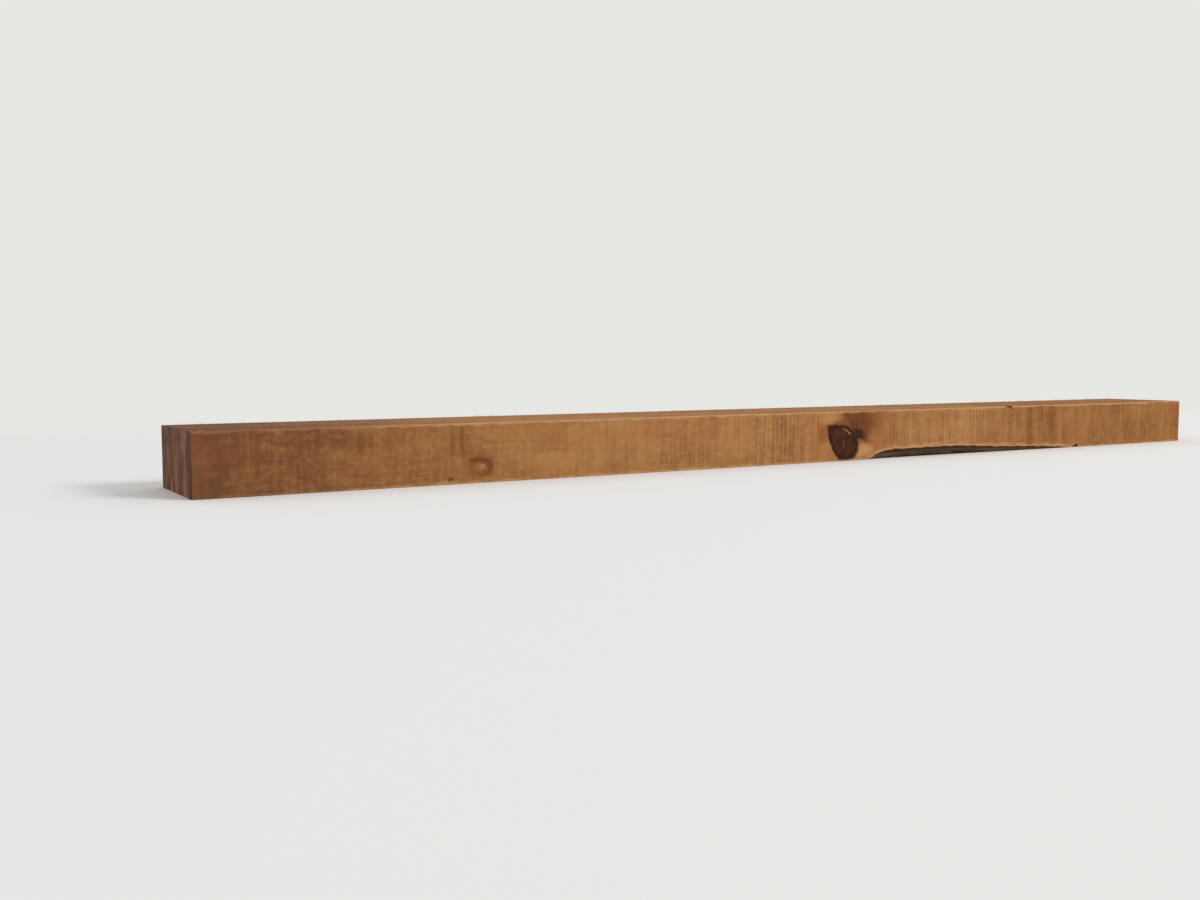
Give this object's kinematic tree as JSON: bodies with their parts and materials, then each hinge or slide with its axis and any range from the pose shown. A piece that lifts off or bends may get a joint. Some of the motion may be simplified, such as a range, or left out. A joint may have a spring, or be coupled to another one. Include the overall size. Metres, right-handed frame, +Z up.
{
  "type": "railway sleeper",
  "caption": "Sawn softwood railway sleeper, a rectangular baulk with flat beds, broken arrises and a stretch of wane along one lower arris.",
  "frame": {"origin": "middle of the underside, which is flat and is what the sleeper lies on", "axes": "+X along the length, away from the end that the picture shows; +Z up, normal to the wide beds; -Y is the outward normal of the long narrow face that the picture shows, whose lower arris has the wane"},
  "size_m": [2.4, 0.2, 0.1],
  "materials": {
    "sawn_softwood": "rough-sawn pine, pressure treated brown, matt"
  },
  "bodies": {
    "root": {"sleeper": "sawn_softwood"}
  },
  "joints": []
}
